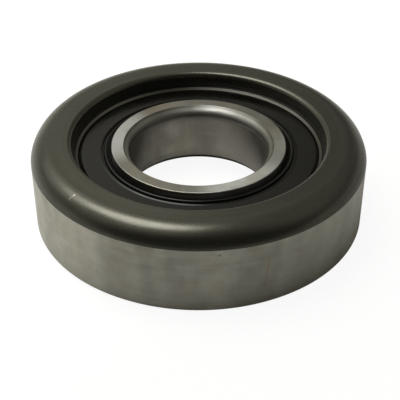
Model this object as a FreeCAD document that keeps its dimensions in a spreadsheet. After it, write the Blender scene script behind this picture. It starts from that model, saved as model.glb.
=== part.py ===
import FreeCAD, Part

import collections
import math
import os

import Sketcher

# Mast roller bearing: a sealed single-row ball bearing whose heavy outer ring is itself the roller.
# Millimetres. +Z is the axis, and the origin is on the axis in the plane of the outer ring's foot face.
# Each turned piece is drawn about the plane of the balls, half the outer ring's width above the foot.

DIMENSIONS = (
    # Outer ring
    ("outer_diameter", 108.0, "tread that rolls in the mast channel"),
    ("outer_width", 28.0, "foot face to shoulder face"),
    ("shoulder_radius", 7.0, "turned round between the shoulder face and the tread"),
    ("shoulder_depth", 5.4, "how far the round comes down before the ground tread cuts it"),
    ("foot_chamfer", 0.7, "edge of the tread at the foot face"),
    ("ledge_width", 0.95, "flat ledge between the recess wall and the chamfer of the lip"),
    ("recess_edge_radius", 1.7, "round between the end face and the recess wall"),
    ("recess_root_radius", 0.4, "tool radius between the recess wall and the ledge"),
    ("least_face_width", 0.8, "flat that stays on the shoulder face where the wall is thin"),
    ("mouth_chamfer", 0.7, "bright chamfer between the ledge and the lip that the seal snaps past"),
    ("mouth_land", 0.35, "straight part of the lip"),
    ("groove_depth", 0.4, "seal groove, deeper than the lip"),
    ("groove_width", 1.05, "lip to the seat of the seal"),
    ("seat_width", 1.35, "seat of the seal, from the land to below the lip"),
    ("outer_race_depth", 1.78, "land to the bottom of the outer raceway"),
    # Inner ring
    ("bore_diameter", 45.0, "fits the roller pin"),
    ("inner_width", 21.0, "face to face"),
    ("inner_race_wall", 4.12, "bore to the bottom of the inner raceway"),
    ("inner_race_depth", 1.63, "bottom of the inner raceway to the land"),
    ("bore_chamfer_width", 1.75, "chamfer at each end of the bore, across the face"),
    ("bore_chamfer_depth", 1.65, "the same chamfer, along the axis"),
    ("bore_taper_width", 0.25, "slight taper from the chamfer to the straight bore"),
    ("bore_taper_length", 2.65, "length of that taper"),
    ("inner_edge_radius", 0.35, "broken outer edge of each face"),
    # Balls and raceways
    ("ball_diameter", 12.7, "one ball"),
    ("ball_count", 9, "as many as the rings take when they are put together off centre"),
    ("race_conformity", 0.52, "raceway radius as a share of the ball diameter"),
    ("running_clearance", 0.03, "ball to the bottom of each raceway"),
    # Cage
    ("ribbon_width", 5.2, "strip of each cage half, across the radius"),
    ("ribbon_thickness", 0.8, "strip of each cage half"),
    ("pocket_clearance", 0.1, "ball to its pocket"),
    ("pocket_bend_radius", 0.8, "round where a pocket rises from the flat"),
    ("rivet_diameter", 1.8, "shank, which fills its holes"),
    ("rivet_head_diameter", 3.4, "head"),
    ("rivet_head_rise", 0.9, "head above the flat"),
    # Seals
    ("cage_gap", 0.25, "top of a pocket to the seal"),
    ("seal_drop", 0.45, "ledge down to the flat of the seal"),
    ("seal_thickness", 1.0, "flat of the seal"),
    ("rim_width", 1.6, "rim of the seal on its seat"),
    ("rim_clearance", 0.05, "rim of the seal to the wall of its groove"),
    ("mouth_clearance", 0.1, "rim of the seal to the lip"),
    ("bevel_width", 1.0, "slope outside the flat of the seal"),
    ("ramp_width", 1.9, "slope inside the flat of the seal"),
    ("ramp_rise", 0.3, "crest of that slope above the flat"),
    ("trough_width", 1.0, "groove between the slope and the bead, at its mouth"),
    ("trough_depth", 0.35, "groove below the flat"),
    ("trough_flank", 0.15, "lean of each side of the groove"),
    ("bead_width", 1.1, "rounded bead of the lip"),
    ("bead_radius", 0.6, "top of the bead"),
    ("bead_offset", 1.05, "inner land to the bead"),
    ("lip_clearance", 0.05, "lip to the inner land"),
    ("lip_drop", 0.8, "edge of the lip below the foot of the bead"),
    ("lip_edge", 0.3, "thickness of the lip at its edge"),
)

# Radii from the bore outwards, worked out from the sheet
BALL = "(Dims.ball_diameter / 2)"
RACE_RADIUS = "(Dims.ball_diameter * Dims.race_conformity)"
BORE = "(Dims.bore_diameter / 2)"
INNER_RACE = "(%s + Dims.inner_race_wall)" % BORE
INNER_LAND = "(%s + Dims.inner_race_depth)" % INNER_RACE
PITCH = "(%s + Dims.running_clearance + %s)" % (INNER_RACE, BALL)
OUTER_RACE = "(%s + %s + Dims.running_clearance)" % (PITCH, BALL)
OUTER_LAND = "(%s - Dims.outer_race_depth)" % OUTER_RACE
MOUTH = "(%s + Dims.seat_width)" % OUTER_LAND
RECESS_WALL = "(%s + Dims.mouth_chamfer + Dims.ledge_width)" % MOUTH
TREAD = "(Dims.outer_diameter / 2)"

# Heights from the plane of the balls, worked out from the sheet
HALF_WIDTH = "(Dims.outer_width / 2)"
POCKET_TOP = "(%s + Dims.pocket_clearance + Dims.ribbon_thickness)" % BALL
SEAL_UNDERSIDE = "(%s + Dims.cage_gap)" % POCKET_TOP
SEAL_FLAT = "(%s + Dims.seal_thickness)" % SEAL_UNDERSIDE
LEDGE = "(%s + Dims.seal_drop)" % SEAL_FLAT
LIP_UNDERSIDE = "(%s - Dims.mouth_chamfer - Dims.mouth_land)" % LEDGE
SEAT = "(%s - Dims.groove_width)" % LIP_UNDERSIDE

Corner = collections.namedtuple("Corner", "x y radius turn", defaults=(None, 0))


def make_sheet(doc):
    """Puts every driving size in one sheet."""
    sheet = doc.addObject("Spreadsheet::Sheet", "Dims")
    for row, (alias, value, note) in enumerate(DIMENSIONS, start=1):
        sheet.set("A%d" % row, alias)
        sheet.set("B%d" % row, str(value))
        sheet.set("C%d" % row, note)
        sheet.setAlias("B%d" % row, alias)
    doc.recompute()
    return sheet


def value_of(owner, expression):
    """Gives the number that an expression of the sheet comes to."""
    result = owner.evalExpression(expression)
    return float(getattr(result, "Value", result))


def new_body(doc, name):
    """Adds a body whose plane of symmetry is that of the balls."""
    body = doc.addObject("PartDesign::Body", name)
    body.Label = name
    body.setExpression("Placement.Base.z", HALF_WIDTH)
    return body


def origin_feature(body, role):
    """Finds one of the body's own planes or axes."""
    return next(item for item in body.Origin.OriginFeatures if item.Role == role)


def new_sketch(body, name, role, shift=None):
    """Adds a sketch on one of the body's own planes, moved along its first axis where asked."""
    sketch = body.newObject("Sketcher::SketchObject", name)
    sketch.AttachmentSupport = (origin_feature(body, role), "")
    sketch.MapMode = "FlatFace"
    if shift:
        sketch.setExpression("AttachmentOffset.Base.x", shift)
    body.Document.recompute()
    return sketch


def place_point(sketch, geometry, point, x, y):
    """Ties one point of the sketch to the sheet in both directions."""
    for kind, axis, expression in (("DistanceX", -2, x), ("DistanceY", -1, y)):
        if expression == "0":
            sketch.addConstraint(Sketcher.Constraint("PointOnObject", geometry, point, axis))
        else:
            size = value_of(sketch, expression)
            index = sketch.addConstraint(Sketcher.Constraint(kind, geometry, point, size))
            sketch.setExpression("Constraints[%d]" % index, expression)


def arc_between(start, end, radius, turn):
    """Gives the short arc between two points; turn is 1 for left and -1 for right."""
    chord = end - start
    middle = (start + end) * 0.5
    left = FreeCAD.Vector(-chord.y, chord.x, 0).normalize()
    height = math.sqrt(max(radius**2 - (chord.Length / 2) ** 2, 0.0))
    centre = middle + left * (turn * height)
    top = centre - left * (turn * radius)
    return Part.Arc(start, top, end)


def draw_outline(sketch, corners):
    """Draws a closed outline of lines and arcs whose corners and radii follow the sheet."""
    points = [FreeCAD.Vector(value_of(sketch, c.x), value_of(sketch, c.y), 0) for c in corners]
    edges = []
    for index, corner in enumerate(corners):
        start = points[index]
        end = points[(index + 1) % len(corners)]
        if corner.radius is None:
            number = sketch.addGeometry(Part.LineSegment(start, end), False)
            edges.append((number, 1, 2))
        else:
            size = value_of(sketch, corner.radius)
            number = sketch.addGeometry(arc_between(start, end, size, corner.turn), False)
            edges.append((number, 1, 2) if corner.turn > 0 else (number, 2, 1))
    for index, corner in enumerate(corners):
        number, first, _ = edges[index]
        before, _, last = edges[index - 1]
        sketch.addConstraint(Sketcher.Constraint("Coincident", before, last, number, first))
        place_point(sketch, number, first, corner.x, corner.y)
    for corner, (number, _, _) in zip(corners, edges):
        if corner.radius is not None:
            size = value_of(sketch, corner.radius)
            index = sketch.addConstraint(Sketcher.Constraint("Radius", number, size))
            sketch.setExpression("Constraints[%d]" % index, corner.radius)


def draw_circle(sketch, x, y, radius):
    """Draws a circle whose centre and radius follow the sheet."""
    centre = FreeCAD.Vector(value_of(sketch, x), value_of(sketch, y), 0)
    size = value_of(sketch, radius)
    number = sketch.addGeometry(Part.Circle(centre, FreeCAD.Vector(0, 0, 1), size), False)
    place_point(sketch, number, 3, x, y)
    index = sketch.addConstraint(Sketcher.Constraint("Radius", number, size))
    sketch.setExpression("Constraints[%d]" % index, radius)


def turned(body, kind, name, sketch):
    """Revolves or grooves a sketch one full turn about its own upright axis, and checks that it bites."""
    before = 0.0 if body.Shape.isNull() else body.Shape.Volume
    feature = body.newObject("PartDesign::" + kind, name)
    feature.Profile = sketch
    feature.ReferenceAxis = (sketch, ["V_Axis"])
    feature.Angle = 360
    body.Document.recompute()
    after = body.Shape.Volume
    if (kind == "Groove" and after >= before) or (kind == "Revolution" and after <= before):
        raise RuntimeError("%s does not change %s" % (name, body.Label))
    return feature


def repeated(body, name, feature):
    """Repeats a feature round the axis, once for each ball."""
    pattern = body.newObject("PartDesign::PolarPattern", name)
    pattern.Originals = [feature]
    pattern.Axis = (origin_feature(body, "Z_Axis"), [""])
    pattern.Angle = 360
    pattern.setExpression("Occurrences", "Dims.ball_count")
    body.Tip = pattern
    body.Document.recompute()
    return pattern


def mirrored(body, name, feature):
    """Repeats a feature on the other side of the plane of the balls."""
    mirror = body.newObject("PartDesign::Mirrored", name)
    mirror.Originals = [feature]
    mirror.MirrorPlane = (origin_feature(body, "XY_Plane"), [""])
    body.Tip = mirror
    body.Document.recompute()
    return mirror


def ring_edges(body, rings):
    """Finds the full circular edges of the given radii and heights, measured from the plane of the balls."""
    feature = body.Tip
    found = []
    for number, edge in enumerate(feature.Shape.Edges, start=1):
        if not isinstance(edge.Curve, Part.Circle):
            continue
        centre = edge.Curve.Center
        for radius, height in rings:
            if abs(edge.Curve.Radius - radius) < 1e-4 and abs(centre.z - height) < 1e-4:
                found.append("Edge%d" % number)
    if len(found) < len(rings):
        raise RuntimeError("an edge of %s was not found" % body.Label)
    return feature, found


def rounded(body, name, rings, radius):
    """Rounds circular edges with a radius of the sheet."""
    base = ring_edges(body, rings)
    fillet = body.newObject("PartDesign::Fillet", name)
    fillet.Base = base
    fillet.setExpression("Radius", radius)
    body.Document.recompute()
    return fillet


def cut_raceway(body, side):
    """Cuts the raceway; side is 1 in the outer ring and -1 in the inner ring."""
    bottom, sign = (OUTER_RACE, "-") if side > 0 else (INNER_RACE, "+")
    centre = "%s %s %s" % (bottom, sign, RACE_RADIUS)
    sketch = new_sketch(body, body.Label + "_raceway_profile", "XZ_Plane")
    draw_circle(sketch, centre, "0", RACE_RADIUS)
    return turned(body, "Groove", body.Label + "_raceway", sketch)


def make_outer_ring(doc):
    """Heavy ring: ground tread, round shoulder at one end, and a recess with a seal seat at both."""
    body = new_body(doc, "outer_ring")
    wall = "(%s - %s - Dims.recess_edge_radius - Dims.least_face_width)" % (TREAD, RECESS_WALL)
    shoulder = "min(Dims.shoulder_radius; %s)" % wall
    depth = "min(Dims.shoulder_depth; %s)" % shoulder
    shoulder_start = "%s - sqrt(%s ^ 2 - (%s - %s) ^ 2)" % (TREAD, shoulder, shoulder, depth)
    blank = new_sketch(body, "outer_ring_section", "XZ_Plane")
    draw_outline(
        blank,
        [
            Corner(OUTER_LAND, "-" + HALF_WIDTH),
            Corner(TREAD + " - Dims.foot_chamfer", "-" + HALF_WIDTH),
            Corner(TREAD, "-%s + Dims.foot_chamfer" % HALF_WIDTH),
            Corner(TREAD, "%s - %s" % (HALF_WIDTH, depth), shoulder, 1),
            Corner(shoulder_start, HALF_WIDTH),
            Corner(OUTER_LAND, HALF_WIDTH),
        ],
    )
    turned(body, "Revolution", "tread_and_shoulder", blank)
    groove_wall = MOUTH + " + Dims.groove_depth"
    end = new_sketch(body, "end_recess_profile", "XZ_Plane")
    draw_outline(
        end,
        [
            Corner(OUTER_LAND + " - 1", HALF_WIDTH),
            Corner(OUTER_LAND + " - 1", SEAT),
            Corner(groove_wall, SEAT),
            Corner(groove_wall, LIP_UNDERSIDE + " - Dims.groove_depth"),
            Corner(MOUTH, LIP_UNDERSIDE),
            Corner(MOUTH, LEDGE + " - Dims.mouth_chamfer"),
            Corner(MOUTH + " + Dims.mouth_chamfer", LEDGE),
            Corner(RECESS_WALL, LEDGE),
            Corner(RECESS_WALL, HALF_WIDTH),
        ],
    )
    recess = turned(body, "Groove", "end_recess", end)
    mirrored(body, "other_end_recess", recess)
    radius = value_of(body, RECESS_WALL)
    face = value_of(body, HALF_WIDTH)
    ledge = value_of(body, LEDGE)
    rounded(body, "recess_edges", [(radius, face), (radius, -face)], "Dims.recess_edge_radius")
    rounded(body, "recess_roots", [(radius, ledge), (radius, -ledge)], "Dims.recess_root_radius")
    cut_raceway(body, 1)
    return body


def make_inner_ring(doc):
    """Narrower ring that clamps on the roller pin."""
    body = new_body(doc, "inner_ring")
    half = "(Dims.inner_width / 2)"
    mouth = "%s + Dims.bore_chamfer_width" % BORE
    throat = "%s + Dims.bore_taper_width" % BORE
    throat_height = "(%s - Dims.bore_chamfer_depth)" % half
    straight = "(%s - Dims.bore_taper_length)" % throat_height
    blank = new_sketch(body, "inner_ring_section", "XZ_Plane")
    draw_outline(
        blank,
        [
            Corner(mouth, "-" + half),
            Corner(INNER_LAND, "-" + half),
            Corner(INNER_LAND, half),
            Corner(mouth, half),
            Corner(throat, throat_height),
            Corner(BORE, straight),
            Corner(BORE, "-" + straight),
            Corner(throat, "-" + throat_height),
        ],
    )
    turned(body, "Revolution", "inner_ring_blank", blank)
    land = value_of(body, INNER_LAND)
    face = value_of(body, half)
    rounded(body, "face_edges", [(land, face), (land, -face)], "Dims.inner_edge_radius")
    cut_raceway(body, -1)
    return body


def make_ball(doc, number):
    """One ball at its place on the pitch circle."""
    ball = doc.addObject("Part::Sphere", "ball_%d" % number)
    ball.Label = "ball_%d" % number
    angle = "(360 * %d / Dims.ball_count)" % (number - 1)
    ball.setExpression("Radius", BALL)
    ball.setExpression("Placement.Base.x", "%s * cos%s" % (PITCH, angle))
    ball.setExpression("Placement.Base.y", "%s * sin%s" % (PITCH, angle))
    ball.setExpression("Placement.Base.z", HALF_WIDTH)
    return ball


def form_pockets(body):
    """Raises the ball pockets from the flat ribbon, each with a bend round its foot."""
    outside = POCKET_TOP
    bend = "Dims.pocket_bend_radius"
    bend_height = "(Dims.ribbon_thickness + %s)" % bend
    foot = "sqrt((%s + %s) ^ 2 - %s ^ 2)" % (outside, bend, bend_height)
    share = "%s / (%s + %s)" % (outside, outside, bend)
    dome = new_sketch(body, body.Label + "_pocket_dome", "XZ_Plane", PITCH)
    draw_outline(
        dome,
        [
            Corner("0", "0"),
            Corner(foot, "0"),
            Corner(foot, "Dims.ribbon_thickness", bend, -1),
            Corner(foot + " * " + share, bend_height + " * " + share, outside, 1),
            Corner("0", outside),
        ],
    )
    repeated(body, body.Label + "_domes", turned(body, "Revolution", body.Label + "_dome", dome))
    inside = "(%s + Dims.pocket_clearance)" % BALL
    hollow = new_sketch(body, body.Label + "_pocket_hollow", "XZ_Plane", PITCH)
    draw_outline(
        hollow,
        [
            Corner("0", "0"),
            Corner(inside, "0", inside, 1),
            Corner("0", inside),
        ],
    )
    repeated(body, body.Label + "_hollows", turned(body, "Groove", body.Label + "_hollow", hollow))


def trim_ribbon(body, inner_edge, outer_edge):
    """Cuts the domes back to the width of the ribbon."""
    top = "(%s + Dims.ribbon_thickness)" % POCKET_TOP
    reach = "(%s + %s + Dims.pocket_bend_radius)" % (PITCH, top)
    trim = new_sketch(body, body.Label + "_trim_profile", "XZ_Plane")
    for near, far in (("0", inner_edge), (outer_edge, reach)):
        draw_outline(trim, [Corner(near, "0"), Corner(far, "0"), Corner(far, top), Corner(near, top)])
    turned(body, "Groove", body.Label + "_trim", trim)


def make_cage_half(doc, name, upper):
    """Pressed ribbon with a round pocket over each ball and a flat with a rivet hole between them."""
    body = new_body(doc, name)
    body.Placement.Rotation = FreeCAD.Rotation(FreeCAD.Vector(1, 0, 0), 0 if upper else 180)
    inner_edge = "(%s - Dims.ribbon_width / 2)" % PITCH
    outer_edge = "(%s + Dims.ribbon_width / 2)" % PITCH
    strip = new_sketch(body, name + "_flat_section", "XZ_Plane")
    draw_outline(
        strip,
        [
            Corner(inner_edge, "0"),
            Corner(outer_edge, "0"),
            Corner(outer_edge, "Dims.ribbon_thickness"),
            Corner(inner_edge, "Dims.ribbon_thickness"),
        ],
    )
    turned(body, "Revolution", name + "_flat", strip)
    form_pockets(body)
    trim_ribbon(body, inner_edge, outer_edge)
    half_step = "(180 / Dims.ball_count)"
    hole = new_sketch(body, name + "_rivet_hole_profile", "XY_Plane")
    draw_circle(
        hole,
        "%s * cos%s" % (PITCH, half_step),
        "%s * sin%s" % (PITCH, half_step),
        "Dims.rivet_diameter / 2",
    )
    pocket = body.newObject("PartDesign::Pocket", name + "_rivet_hole")
    pocket.Profile = hole
    pocket.Type = "Length"
    pocket.setExpression("Length", "Dims.ribbon_thickness * 2")
    pocket.Midplane = True
    doc.recompute()
    repeated(body, name + "_rivet_holes", pocket)
    return body


def make_rivets(doc):
    """Rivets between the balls, each with a domed head on both flats of the cage."""
    body = new_body(doc, "cage_rivets")
    body.setExpression("Placement.Rotation.Angle", "180 / Dims.ball_count")
    shank = "Dims.rivet_diameter / 2"
    head = "Dims.rivet_head_diameter / 2"
    flat = "Dims.ribbon_thickness"
    rise = "Dims.rivet_head_rise"
    dome = "(%s ^ 2 + (%s) ^ 2) / (2 * %s)" % (rise, head, rise)
    section = new_sketch(body, "rivet_section", "XZ_Plane", PITCH)
    draw_outline(
        section,
        [
            Corner("0", "-(%s + %s)" % (flat, rise), dome, 1),
            Corner(head, "-" + flat),
            Corner(shank, "-" + flat),
            Corner(shank, flat),
            Corner(head, flat, dome, 1),
            Corner("0", "%s + %s" % (flat, rise)),
        ],
    )
    repeated(body, "rivets", turned(body, "Revolution", "rivet", section))
    return body


def make_seal(doc, name, upper):
    """Moulded seal: rim in the groove of the outer ring, flat, slope, trough, bead and lip."""
    body = new_body(doc, name)
    body.Placement.Rotation = FreeCAD.Rotation(FreeCAD.Vector(1, 0, 0), 0 if upper else 180)
    rim_outside = "(%s + Dims.groove_depth - Dims.rim_clearance)" % MOUTH
    rim_inside = "(%s - Dims.rim_width)" % rim_outside
    throat = "(%s - Dims.mouth_clearance)" % MOUTH
    flank = "(Dims.groove_depth - Dims.rim_clearance + Dims.mouth_clearance)"
    shelf = "(%s - Dims.rim_clearance)" % LIP_UNDERSIDE
    tip = "(%s + Dims.lip_clearance)" % INNER_LAND
    bead_inside = "(%s + Dims.bead_offset)" % INNER_LAND
    bead_outside = "(%s + Dims.bead_width)" % bead_inside
    crest = "(%s + Dims.trough_width)" % bead_outside
    trough = "(%s - Dims.trough_depth)" % SEAL_FLAT
    edge = "(%s - Dims.lip_drop)" % SEAL_FLAT
    section = new_sketch(body, name + "_section", "XZ_Plane")
    draw_outline(
        section,
        [
            Corner(rim_inside, SEAT),
            Corner(rim_outside, SEAT),
            Corner(rim_outside, "%s - %s" % (shelf, flank)),
            Corner(throat, shelf),
            Corner("%s - Dims.bevel_width" % throat, SEAL_FLAT),
            Corner("%s + Dims.ramp_width" % crest, SEAL_FLAT),
            Corner(crest, "%s + Dims.ramp_rise" % SEAL_FLAT),
            Corner("%s - Dims.trough_flank" % crest, trough),
            Corner("%s + Dims.trough_flank" % bead_outside, trough),
            Corner(bead_outside, SEAL_FLAT, "Dims.bead_radius", 1),
            Corner(bead_inside, SEAL_FLAT),
            Corner(tip, edge),
            Corner(tip, "%s - Dims.lip_edge" % edge),
            Corner("%s + Dims.bead_width" % bead_inside, SEAL_UNDERSIDE),
            Corner("%s - (%s - %s)" % (rim_inside, SEAL_UNDERSIDE, SEAT), SEAL_UNDERSIDE),
        ],
    )
    turned(body, "Revolution", name + "_moulding", section)
    return body


def check(doc, pieces):
    """Stops if a feature failed or a piece has no sound shape."""
    for item in doc.Objects:
        if "Invalid" in item.State or "Error" in item.State:
            raise RuntimeError("%s failed: %s" % (item.Name, item.State))
    for piece in pieces:
        if piece.Shape.isNull() or not piece.Shape.isValid():
            raise RuntimeError("%s has no sound shape" % piece.Label)


def main():
    """Builds the bearing and writes one file for each piece."""
    doc = FreeCAD.newDocument("mast_roller_bearing")
    sheet = make_sheet(doc)
    pieces = [
        make_outer_ring(doc),
        make_inner_ring(doc),
        make_seal(doc, "upper_seal", True),
        make_seal(doc, "lower_seal", False),
        make_cage_half(doc, "cage_upper_half", True),
        make_cage_half(doc, "cage_lower_half", False),
        make_rivets(doc),
    ]
    pieces += [make_ball(doc, number) for number in range(1, int(sheet.ball_count) + 1)]
    doc.recompute()
    check(doc, pieces)
    os.makedirs("parts", exist_ok=True)
    for piece in pieces:
        piece.Shape.exportStep(os.path.join("parts", piece.Label + ".step"))
        box = piece.Shape.BoundBox
        size = (piece.Label, len(piece.Shape.Solids), piece.Shape.Volume, box.ZMin, box.ZMax)
        print("%-16s solids %d  volume %9.1f  z %6.2f to %6.2f" % size)


main()
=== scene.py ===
"""Looks of a mast roller bearing: two rings, two seals, the cage with its rivets, and nine balls."""

import logging
import math
from dataclasses import dataclass, replace
from enum import Enum

import bpy
import numpy as np
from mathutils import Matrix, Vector


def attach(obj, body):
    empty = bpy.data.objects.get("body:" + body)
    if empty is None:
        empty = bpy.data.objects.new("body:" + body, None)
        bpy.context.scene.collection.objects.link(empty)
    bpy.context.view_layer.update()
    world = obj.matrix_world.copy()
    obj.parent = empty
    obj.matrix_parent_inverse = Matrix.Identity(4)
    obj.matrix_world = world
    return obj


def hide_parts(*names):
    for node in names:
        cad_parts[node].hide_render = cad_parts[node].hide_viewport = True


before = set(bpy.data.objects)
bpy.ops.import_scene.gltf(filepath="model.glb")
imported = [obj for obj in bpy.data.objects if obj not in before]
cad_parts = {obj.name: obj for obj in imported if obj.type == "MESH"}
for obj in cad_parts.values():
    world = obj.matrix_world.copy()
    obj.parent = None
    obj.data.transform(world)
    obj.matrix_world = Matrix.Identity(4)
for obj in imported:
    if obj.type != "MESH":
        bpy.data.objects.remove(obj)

LOG = logging.getLogger("bearing")
MM = 0.001
STEPS_ROUND = 360
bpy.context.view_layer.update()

Triple = tuple[float, float, float]
Colour = Triple
Flat = tuple[float, float]
Node = bpy.types.Node
Socket = bpy.types.NodeSocket
Sockets = dict[str, Socket]


class Surface(Enum):
    """The kinds of surface that a turned piece has."""

    BLACKENED = "blackened"
    TREAD = "tread"
    FACE = "face"
    RECESS = "recess"
    LEDGE = "ledge"
    MOUTH = "mouth"
    CORNER = "corner"
    UNDERSIDE = "underside"
    BORE = "bore"
    RACEWAY = "raceway"
    RUBBER = "rubber"


class Side(Enum):
    """Which way up a seal sits, as the factor on its height above the ball plane."""

    UPPER = 1
    LOWER = -1


@dataclass(frozen=True)
class Corner:
    """One corner of a turned outline, in millimetres.

    Attributes:
        radius: Distance from the axis.
        height: Height above the floor.
        ease: Radius of the rounding at this corner.
        bow: Radius of the arc that follows, positive where it bulges out of the metal, 0 for a straight run.
        surface: Finish of the run that follows.
    """

    radius: float
    height: float
    ease: float = 0.0
    bow: float = 0.0
    surface: Surface = Surface.BLACKENED


@dataclass(frozen=True)
class Run:
    """One short straight stretch of an outline.

    Attributes:
        start: Radius and height where it starts, in millimetres.
        end: Radius and height where it ends, in millimetres.
        start_out: Outward direction at its start.
        end_out: Outward direction at its end.
        surface: Its finish.
    """

    start: Flat
    end: Flat
    start_out: Flat
    end_out: Flat
    surface: Surface


@dataclass
class Outline:
    """A closed outline of a turned piece, with the metal on the left of each run.

    Attributes:
        corners: The corners in order.
        coarse: Largest turn of one stretch on a small rounding, in degrees.
        fine: Largest turn of one stretch on a large arc, in degrees.
    """

    corners: list[Corner]
    coarse: float = 18.0
    fine: float = 3.0

    def arc(self, start: Flat, end: Flat, bow: float, surface: Surface) -> list[Run]:
        """Divides one arc into short stretches.

        Args:
            start: Radius and height where the arc starts.
            end: Radius and height where it ends.
            bow: Radius of the arc, positive where its centre lies in the metal.
            surface: Finish of the arc.

        Returns:
            The stretches in order.
        """
        along = Vector(end) - Vector(start)
        half, radius = along.length / 2, abs(bow)
        left = Vector((-along.y, along.x)).normalized() * math.copysign(1, bow)
        centre = Vector(start) + along / 2 + left * math.sqrt(max(radius**2 - half**2, 0))
        first = math.atan2(start[1] - centre.y, start[0] - centre.x)
        swing = 2 * math.asin(min(half / radius, 1)) * math.copysign(1, bow)
        limit = self.fine if radius > 1 else self.coarse
        count = max(2, math.ceil(abs(math.degrees(swing)) / limit))
        outs = []
        for k in range(count + 1):
            angle = first + swing * k / count
            outs.append((math.cos(angle), math.sin(angle)))
        spots = [(centre.x + radius * c, centre.y + radius * s) for c, s in outs]
        spots[0], spots[-1] = start, end
        sign = math.copysign(1, bow)
        outs = [(c * sign, s * sign) for c, s in outs]
        return [Run(spots[k], spots[k + 1], outs[k], outs[k + 1], surface) for k in range(count)]

    def straight(self, start: Flat, end: Flat, surface: Surface) -> list[Run]:
        """Makes one straight stretch.

        Args:
            start: Radius and height where it starts.
            end: Radius and height where it ends.
            surface: Finish of the stretch.

        Returns:
            The stretch in a list, or an empty list where it has no length.
        """
        along = Vector(end) - Vector(start)
        if along.length < 1e-6:
            return []
        along.normalize()
        out = (along.y, -along.x)
        return [Run(start, end, out, out, surface)]

    def runs(self) -> list[Run]:
        """Rounds the corners and divides the arcs.

        Returns:
            All the stretches in order, the last one ending where the first one starts.
        """
        count = len(self.corners)
        enters: list[Flat] = []
        leaves: list[Flat] = []
        turns: list[float] = []
        for k, corner in enumerate(self.corners):
            spot = Vector((corner.radius, corner.height))
            before = self.corners[k - 1]
            after = self.corners[(k + 1) % count]
            towards = (spot - Vector((before.radius, before.height))).normalized()
            away = (Vector((after.radius, after.height)) - spot).normalized()
            turn = math.atan2(towards.x * away.y - towards.y * away.x, towards.dot(away))
            reach = corner.ease * math.tan(abs(turn) / 2) if corner.ease else 0.0
            enters.append(tuple(spot - towards * reach))
            leaves.append(tuple(spot + away * reach))
            turns.append(turn)
        made: list[Run] = []
        for k, corner in enumerate(self.corners):
            if corner.ease:
                bow = math.copysign(corner.ease, turns[k])
                made += self.arc(enters[k], leaves[k], bow, corner.surface)
            end = enters[(k + 1) % count]
            if corner.bow:
                made += self.arc(leaves[k], end, corner.bow, corner.surface)
            else:
                made += self.straight(leaves[k], end, corner.surface)
        return made


def lathe(name: str, outline: Outline, finishes: dict[Surface, bpy.types.Material]) -> bpy.types.Object:
    """Turns an outline round the axis into a smooth closed mesh.

    Args:
        name: Name of the piece.
        outline: Its outline in millimetres.
        finishes: The material of each surface.

    Returns:
        The new object, linked into the scene.
    """
    runs = outline.runs()
    kinds = list(finishes)
    angles = np.arange(STEPS_ROUND) * (2 * math.pi / STEPS_ROUND)
    ring = np.stack([np.cos(angles), np.sin(angles)], 1)
    spots = np.array([run.start for run in runs]) * MM
    verts = np.empty((len(runs), STEPS_ROUND, 3))
    verts[:, :, :2] = spots[:, None, :1] * ring[None]
    verts[:, :, 2] = spots[:, 1:]
    here = np.arange(STEPS_ROUND)
    there = (here + 1) % STEPS_ROUND
    faces, outs, along, kind = [], [], [], []
    travelled = 0.0
    for k, run in enumerate(runs):
        low, high = k * STEPS_ROUND, (k + 1) % len(runs) * STEPS_ROUND
        faces.append(np.stack([low + here, low + there, high + there, high + here], 1))
        out = np.empty((STEPS_ROUND, 4, 3))
        for slot, (turned, way) in enumerate(
            ((here, run.start_out), (there, run.start_out), (there, run.end_out), (here, run.end_out))
        ):
            out[:, slot, :2] = ring[turned] * way[0]
            out[:, slot, 2] = way[1]
        outs.append(out.reshape(-1, 3))
        length = (Vector(run.end) - Vector(run.start)).length
        along.append(np.tile([travelled, travelled, travelled + length, travelled + length], STEPS_ROUND))
        travelled += length
        kind.append(np.full(STEPS_ROUND, kinds.index(run.surface)))
    mesh = bpy.data.meshes.new(name)
    mesh.from_pydata(verts.reshape(-1, 3).tolist(), [], np.concatenate(faces).tolist())
    for surface in kinds:
        mesh.materials.append(finishes[surface])
    mesh.polygons.foreach_set("material_index", np.concatenate(kind).astype(np.int32))
    mesh.polygons.foreach_set("use_smooth", np.ones(len(mesh.polygons), bool))
    length_at = mesh.attributes.new("along", "FLOAT", "CORNER")
    length_at.data.foreach_set("value", np.concatenate(along).astype(np.float32))
    mesh.normals_split_custom_set(np.concatenate(outs).tolist())
    mesh.update()
    piece = bpy.data.objects.new(name, mesh)
    bpy.context.scene.collection.objects.link(piece)
    return piece


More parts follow.
